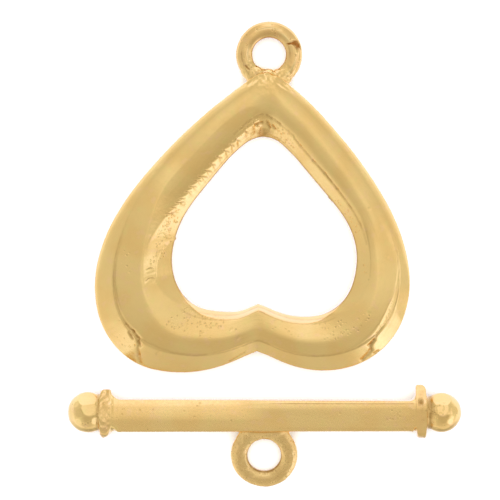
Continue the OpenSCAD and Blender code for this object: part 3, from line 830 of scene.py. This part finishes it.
def bar_body(gold, loop_middle):
    """The cast bar without its loop."""
    x, r = bar_profile()
    around = np.arange(BAR_SIDES) * 2 * np.pi / BAR_SIDES
    on_rod = (ease(x, -7.9, -7.5) * (1 - ease(x, 7.6, 7.8)))[:, None]
    corner = 1 / squared(np.cos(around + BAR_DROOP), np.sin(around + BAR_DROOP))[None]
    radius = r[:, None] * (1 + (corner - 1) * on_rod)
    drop = ROD_DROP * ease(x, -7.95, -7.45) * (1 - ease(x, 7.58, 7.84))
    body = np.stack([
        x[:, None] + 0 * around[None],
        radius * np.cos(around)[None] - drop[:, None],
        radius * np.sin(around)[None],
    ], axis=-1)

    # Collars were filed a little out of square, and are a little off the bar's axis
    left_collar = bell(x, -LEFT_COLLAR_X, 0.3, 4)[:, None]
    right_collar = bell(x, RIGHT_COLLAR_X, 0.26, 4)[:, None]
    body[..., 0] += 0.05 * (left_collar - right_collar) * body[..., 1]
    lower_end = 0.2 * left_collar * ease(-body[..., 1], 0.80, 1.25)
    body[..., 0] += lower_end * (-8.23 - body[..., 0])
    shift = LEFT_COLLAR_SHIFT * left_collar + RIGHT_COLLAR_SHIFT * right_collar
    body[..., 1] += shift * DROOP_COS
    body[..., 2] -= shift * DROOP_SIN

    # Roughness and solder
    normals = grid_normals(body, (BAR_STATIONS // 2, BAR_SIDES // 4), (0, 0, 1))
    normals[:6, :] = (-1, 0, 0)
    normals[-6:, :] = (1, 0, 0)
    gap = ring_gap(body, loop_middle, BAR_WIRE)
    wet = 1 - ease(gap, 0.1, 0.6)
    collar = np.maximum(left_collar, right_collar)
    ends = 1 - on_rod
    push = fillet(gap, BAR_SOLDER_REACH) + wet * 0.012 * noise(body, 0.25, 13)
    push += 0.004 * noise(body * (0.45, 1, 1), 0.9, 14) + 0.002 * noise(body, 0.4, 15)
    push += ends * (waves(body, ((0.010, 0.42, 16), (0.005, 0.2, 17))) - 0.006)
    push += left_collar * (0.04 * noise(body, 0.30, 26) - 0.01)
    body = body + normals * push[..., None]

    # The filed front, then the balls' facets
    placed = to_clasp(body)
    across = placed[..., 1] - (BAR_Y - ROD_DROP * DROOP_COS)
    rod_z = BAR_Z - ROD_DROP * DROOP_SIN + body[..., 0] * math.sin(BAR_LEAN)
    filed = filed_front(body[..., 0], across) + 0.004 * noise(body * (0.3, 1, 1), 0.7, 27)
    placed[..., 2] = smooth_min(placed[..., 2], rod_z + filed, 0.012)
    placed[..., 2] += left_collar * (placed[..., 2] > BAR_Z) * 0.03 * noise(body, 0.16, 28)
    placed[..., 2] -= 0.03 * left_collar
    placed = cut_balls(placed - np.array([0, BAR_Y, BAR_Z])) + np.array([0, BAR_Y, BAR_Z])
    placed[..., 2] = np.maximum(placed[..., 2], 0)

    # A pit in the right collar, two filed lines painted as lines of shade without a groove, and painted shade
    # in the necks
    on_front = body[..., 2] > 0
    pit = bell(body[..., 0], 8.03, 0.09) * bell(across, 0.72, 0.13) * on_front
    placed[..., 2] -= 0.10 * pit
    lines = bell(across, 0.65, 0.025) + 0.25 * bell(across, -0.62, 0.03)
    lines *= ease(body[..., 0], -0.5, 1.5) * on_rod * on_front
    # Painted shade in the necks between the collars and the balls
    neck = (0.55 * bell(x, -8.56, 0.09) + 0.75 * bell(x, 8.50, 0.15))[:, None]
    stain_and_shade = np.maximum(np.maximum(1.2 * pit, 0.7 * lines), 0.15 * wet)
    stain_and_shade = np.maximum(stain_and_shade, 0.3 * collar * noise(body, 0.3, 29))
    pitted = 0.01 * on_rod + 0.03 * np.maximum(left_collar, ends)
    for spot_x, spot_across, reach, thick in BAR_PITS:
        far = np.hypot(body[..., 0] - spot_x, across - spot_across)
        pitted = np.maximum(pitted, thick * (1 - ease(far, 0.5 * reach, reach)))
    masks = {"stain_and_shade": np.clip(np.maximum(stain_and_shade, neck), 0, 1), "wet": wet, "pitted": pitted}
    masks.update({"worn": 0.12 * on_rod + 0.35 * collar, "dull": 0.5 * on_rod + 0.3 * collar})
    return make_piece("bar_skin", placed, masks, gold, is_ring=False)


def bar_loop(gold, middle):
    """The wire loop on the bar's side."""
    loop, turn, normals, outward = wire_ring(middle, BAR_WIRE, BAR_WIRE_WORN, BAR_DROOP)
    gap = squared(loop[..., 1] + ROD_DROP, loop[..., 2]) - (ROD_LEFT_R + ROD_RIGHT_R) / 2
    near_rod = (np.sin(turn) > 0)[:, None]
    wet = (1 - ease(gap, 0.15, 0.9)) * near_rod
    push = fillet(gap, BAR_SOLDER_REACH) * near_rod + wet * 0.02 * noise(loop, 0.25, 18)
    push += waves(loop, ((0.012, 1.0, 19), (0.007, 0.35, 20), (0.009, 0.15, 22))) - 0.010
    # pale is a painted highlight along the streaks
    streaks, pale, _ = streaks_and_painted_light(BAR_LOOP_STREAKS, np.degrees(turn)[:, None], outward, loop[..., 2] > 0)
    push += streaks
    stain_and_shade = np.maximum(0.20 * noise(loop, 0.8, 21), 0.10 * wet)
    # Painted shade along the hole's rim
    inner_edge = 1 - ease(outward, -0.41, -0.35)
    stain_and_shade = np.clip(np.maximum(stain_and_shade, 0.85 * inner_edge), 0, 1)
    # Painted highlight along the streaks, broken up by noise, over a slightly paler tint of the whole loop
    pale = np.maximum(pale * ease(noise(loop, 0.16, 30), -0.5, 0.4), 0.20)
    masks = {"stain_and_shade": stain_and_shade, "wet": wet, "pitted": 0.30, "worn": 0.3, "dull": 0.4, "pale": pale}
    placed = to_clasp(loop + normals * push[..., None])
    placed[..., 2] = np.maximum(placed[..., 2], 0.01)
    return make_piece("bar_loop_skin", placed, masks, gold)


def bar_meshes(gold):
    loop_middle = (BAR_LOOP_X, -ROD_DROP - BAR_LOOP_ARM, 0)
    return [bar_body(gold, loop_middle), bar_loop(gold, loop_middle)]


class Nodes:
    """Short calls to build a node tree."""

    def __init__(self, owner):
        owner.use_nodes = True
        self.tree = owner.node_tree
        self.tree.nodes.clear()

    def set(self, socket, value):
        if isinstance(value, bpy.types.NodeSocket):
            self.tree.links.new(value, socket)
        else:
            socket.default_value = value

    def put(self, kind, sockets=None, **settings):
        node = self.tree.nodes.new(kind)
        for key, value in settings.items():
            setattr(node, key, value)
        for key, value in (sockets or {}).items():
            self.set(node.inputs[key], value)
        return node

    def math(self, operation, a, b=None, clamp=False):
        sockets = {0: a} if b is None else {0: a, 1: b}
        return self.put("ShaderNodeMath", sockets, operation=operation, use_clamp=clamp).outputs[0]

    def add(self, total, value, times, clamp=False):
        return self.math("ADD", total, self.math("MULTIPLY", value, times), clamp)

    def mask(self, name):
        return self.put("ShaderNodeAttribute", attribute_name=name).outputs["Fac"]

    def noise(self, vector, scale, detail=2.0):
        sockets = {"Vector": vector, "Scale": scale, "Detail": detail, "Roughness": 0.5}
        return self.put("ShaderNodeTexNoise", sockets).outputs["Fac"]

    def spread(self, value, low, high, to_low, to_high):
        sockets = {"Value": value, "From Min": low, "From Max": high, "To Min": to_low, "To Max": to_high}
        return self.put("ShaderNodeMapRange", sockets, interpolation_type="SMOOTHSTEP").outputs["Result"]

    def scaled(self, vector, scale):
        return self.put("ShaderNodeMapping", {"Vector": vector, "Scale": scale}).outputs["Vector"]

    def finish_material(self, sockets):
        shader = self.put("ShaderNodeBsdfPrincipled", sockets)
        self.put("ShaderNodeOutputMaterial", {"Surface": shader.outputs["BSDF"]})

    def mix(self, factor, a, b):
        node = self.put("ShaderNodeMix", data_type="RGBA")
        for socket, value in ((0, factor), (6, a), (7, b)):
            self.set(node.inputs[socket], value)
        return node.outputs[2]


GOLD = (0.955, 0.675, 0.262, 1)
GOLD_WARM = (0.940, 0.625, 0.225, 1)
GOLD_ROSE = (0.975, 0.640, 0.315, 1)
GOLD_GREEN = (0.900, 0.680, 0.235, 1)
GOLD_WORN = (0.900, 0.520, 0.215, 1)
# Colour of the painted highlight along the loops' streaks
GOLD_PAINTED_HIGHLIGHT = (1.000, 0.750, 0.330, 1)
# Colour of stains and of painted shade
GOLD_STAIN_AND_SHADE = (0.450, 0.255, 0.070, 1)
GOLD_RUST = (0.430, 0.160, 0.030, 1)

# Roughness of clean plate, and what stains and painted shade, dullness or solder add to it
CLEAN_ROUGH, STAIN_ROUGH, DULL_ROUGH, WET_ROUGH = (0.13, 0.21), 0.22, 0.20, -0.02
# Relief of the bump, in steps: the heights of streaks, mottle, grain and grain on solder, and the depth of
# pits. PIT_CELLS is how many cells a millimetre holds for pits to be set in.
STREAK_HIGH, MOTTLE_HIGH, GRAIN_HIGH, WET_GRAIN_HIGH, PIT_DEEP = 2.4, 3.0, 0.25, 2.0, 5.0
BUMP_STEP, PIT_CELLS = 0.0015 * MM, 7.5


def gold_material():
    """Bright gold plate on a cast and hand-finished base, with painted highlights and painted shade from its
    masks.
    """
    material = bpy.data.materials.new("gold_plate")
    nodes = Nodes(material)
    place = nodes.scaled(nodes.put("ShaderNodeTexCoord").outputs["Object"], (1 / MM, 1 / MM, 1 / MM))
    skin = nodes.put("ShaderNodeUVMap", uv_map="skin").outputs["UV"]
    stain_and_shade, wet, worn, dull = (nodes.mask(name) for name in ("stain_and_shade", "wet", "worn", "dull"))

    blotch = nodes.noise(place, 2.2)
    color = nodes.mix(nodes.spread(nodes.noise(place, 0.55), 0.35, 0.65, 0, 1), GOLD, GOLD_WARM)
    color = nodes.mix(nodes.spread(blotch, 0.56, 0.72, 0, 0.45), color, GOLD_ROSE)
    color = nodes.mix(nodes.spread(blotch, 0.42, 0.28, 0, 0.45), color, GOLD_GREEN)
    rubbed = nodes.spread(nodes.noise(place, 3.5, 3.0), 0.3, 0.7, 0.35, 1.0)
    torn = nodes.spread(nodes.noise(place, 5, 3.0), 0.3, 0.6, 0.55, 1.0)
    # Tints: real wear, the pale mask's painted highlight, the stain mask's stains and painted shade, and real
    # rust at the seam
    for mask, times, tint in (
        (worn, rubbed, GOLD_WORN),
        (nodes.mask("pale"), 0.8, GOLD_PAINTED_HIGHLIGHT),
        (stain_and_shade, torn, GOLD_STAIN_AND_SHADE),
        (nodes.mask("rust"), torn, GOLD_RUST),
    ):
        color = nodes.mix(nodes.math("MULTIPLY", mask, times, clamp=True), color, tint)

    # Casting pits: a dot in some of the cells, more of them where the patch is thickly pitted
    cells = nodes.put("ShaderNodeTexVoronoi", {"Vector": place, "Scale": PIT_CELLS}, feature="F1")
    chance = nodes.put("ShaderNodeSeparateColor", {0: cells.outputs["Color"]}).outputs[0]
    open_cell = nodes.math("GREATER_THAN", nodes.mask("pitted"), chance)
    dot = nodes.math("MULTIPLY", nodes.spread(cells.outputs["Distance"], 0.16, 0.36, 1, 0), open_cell)
    halo = nodes.math("MULTIPLY", nodes.spread(cells.outputs["Distance"], 0.30, 0.60, 1, 0), open_cell)
    color = nodes.mix(nodes.math("MULTIPLY", dot, 0.45), color, GOLD_STAIN_AND_SHADE)

    roughness = nodes.spread(nodes.noise(place, 9), 0.3, 0.7, *CLEAN_ROUGH)
    roughness = nodes.add(roughness, stain_and_shade, STAIN_ROUGH)
    roughness = nodes.add(roughness, dull, DULL_ROUGH)
    roughness = nodes.add(roughness, wet, WET_ROUGH, clamp=True)

    streaks = nodes.noise(nodes.scaled(skin, (0.35, 5, 1)), 1.0)
    height = nodes.math("MULTIPLY", streaks, STREAK_HIGH)
    height = nodes.add(height, nodes.noise(place, 3.2), MOTTLE_HIGH)
    height = nodes.add(height, nodes.noise(place, 16), nodes.add(GRAIN_HIGH, wet, WET_GRAIN_HIGH))
    height = nodes.math("SUBTRACT", height, nodes.math("MULTIPLY", halo, PIT_DEEP))
    bump = nodes.put("ShaderNodeBump", {"Strength": 1.0, "Distance": BUMP_STEP, "Height": height})
    sockets = {"Metallic": 1.0, "Base Color": color, "Roughness": roughness, "Normal": bump.outputs["Normal"]}
    nodes.finish_material(sockets)
    return material


def make_floor():
    half = 300 * MM
    mesh = bpy.data.meshes.new("floor")
    corners = [(-half, -half, 0), (half, -half, 0), (half, half, 0), (-half, half, 0)]
    mesh.from_pydata(corners, [], [(0, 1, 2, 3)])
    material = bpy.data.materials.new("pale_floor")
    sockets = {"Base Color": (0.88, 0.88, 0.88, 1), "Roughness": 1.0, "Specular IOR Level": 0.0}
    Nodes(material).finish_material(sockets)
    mesh.materials.append(material)
    floor = add_object("floor", mesh)
    floor.visible_glossy = False


# Camera: straight above, over the middle of the photograph's frame. PIXEL is a pixel's width in millimetres
# on the level at CAMERA_LEVEL, and ORIGIN_PIXEL is the pixel that the row's origin shows at.
PIXEL, PHOTO_SIDE, ORIGIN_PIXEL = 0.0516, 500, (264.5, 254.5)
CAMERA_HEIGHT, CAMERA_LEVEL, SENSOR = 150, 1.2, 36


def make_camera():
    data = bpy.data.cameras.new("camera")
    data.sensor_width = SENSOR
    data.lens = SENSOR * (CAMERA_HEIGHT - CAMERA_LEVEL) / (PIXEL * PHOTO_SIDE)
    data.clip_start = 0.005
    data.clip_end = 2
    camera = add_object("camera", data)
    middle = PHOTO_SIDE / 2
    x, y = (middle - ORIGIN_PIXEL[0]) * PIXEL, (ORIGIN_PIXEL[1] - middle) * PIXEL
    camera.location = Vector((x, y, CAMERA_HEIGHT)) * MM
    bpy.context.scene.camera = camera


# Soft boxes and dark screens round the clasp. Columns are the azimuth (0 is +X, 90 is +Y), the elevation
# and the spread in degrees, and how much brighter or darker than the tent the middle is.
TENT = 0.74
SOFT_BOXES = (
    (42, 80, 9, 0.15), (90, 62, 14, 0.34), (90, 30, 16, 0.42), (90, 30, 7, 0.32), (90, 8, 14, 0.34),
    (8, 57, 9, 0.42), (2, 48, 6, 0.28), (-3, 34, 8, 0.34), (10, 27, 9, 0.38), (-26, 22, 12, 0.56),
    (-47, 18, 12, 0.72), (-90, -34, 26, -0.75), (-50, -32, 22, -0.45), (-130, -36, 18, -0.3),
    (180, -30, 26, -0.22), (-138, 11, 12, 0.32), (180, 52, 9, -0.26), (-90, 52, 26, -0.18),
    (-32, 51, 15, -0.17), (-140, 62, 18, -0.07), (-142, 34, 13, 0.1), (-162, 46, 9, 0.12),
    (-165, 14, 14, 0.08),
)
# The pale surface below: how much brighter it is than the tent, the height of its border on a sphere round
# the clasp, and how soft that border is
BELOW = (0.48, -0.01, 0.06)
# Tints of the brightest parts and of the darkest ones, which are cooler and warmer than the tent
COOL = (0.97, 1.0, 1.32, 1)
WARM = (1.02, 1.0, 0.93, 1)


def make_world():
    world = bpy.data.worlds.new("studio")
    nodes = Nodes(world)
    toward = nodes.put("ShaderNodeTexCoord").outputs["Generated"]
    light = TENT
    for azimuth, elevation, spread, bright in SOFT_BOXES:
        sockets = {0: toward, 1: direction(azimuth, elevation)}
        facing = nodes.put("ShaderNodeVectorMath", sockets, operation="DOT_PRODUCT").outputs["Value"]
        fall = nodes.math("MULTIPLY", nodes.math("SUBTRACT", facing, 1.0), 2 / math.radians(spread) ** 2)
        light = nodes.add(light, nodes.math("EXPONENT", fall), bright)
    rise = nodes.put("ShaderNodeSeparateXYZ", {0: toward}).outputs["Z"]
    bright, border, soft = BELOW
    rising = nodes.math("EXPONENT", nodes.math("DIVIDE", nodes.math("SUBTRACT", rise, border), soft))
    light = nodes.math("ADD", light, nodes.math("DIVIDE", bright, nodes.math("ADD", rising, 1.0)))
    tint = nodes.mix(nodes.spread(light, 0.50, 0.74, 1, 0), (1, 1, 1, 1), WARM)
    tint = nodes.mix(nodes.spread(light, 0.80, 1.35, 0, 1), tint, COOL)
    shade = nodes.put("ShaderNodeBackground", {"Color": tint, "Strength": light})
    nodes.put("ShaderNodeOutputWorld", {"Surface": shade.outputs["Background"]})
    bpy.context.scene.world = world


def make_fill():
    """A broad light above that the pale floor catches, and that the gold doesn't mirror."""
    data = bpy.data.lights.new("fill", "AREA")
    data.shape = "DISK"
    data.size = 300 * MM
    data.energy = 1.6
    fill = add_object("fill", data)
    fill.location = (0, 0, 350 * MM)
    fill.visible_camera = False
    fill.visible_glossy = False


def main():
    gold = gold_material()
    for node, pieces in (("heart_ring", heart_meshes(gold)), ("toggle_bar", bar_meshes(gold))):
        for piece in pieces:
            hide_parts(node)
            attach(piece, "root")
    make_floor()
    make_camera()
    make_world()
    make_fill()
    bpy.context.scene.view_settings.view_transform = "Standard"


main()
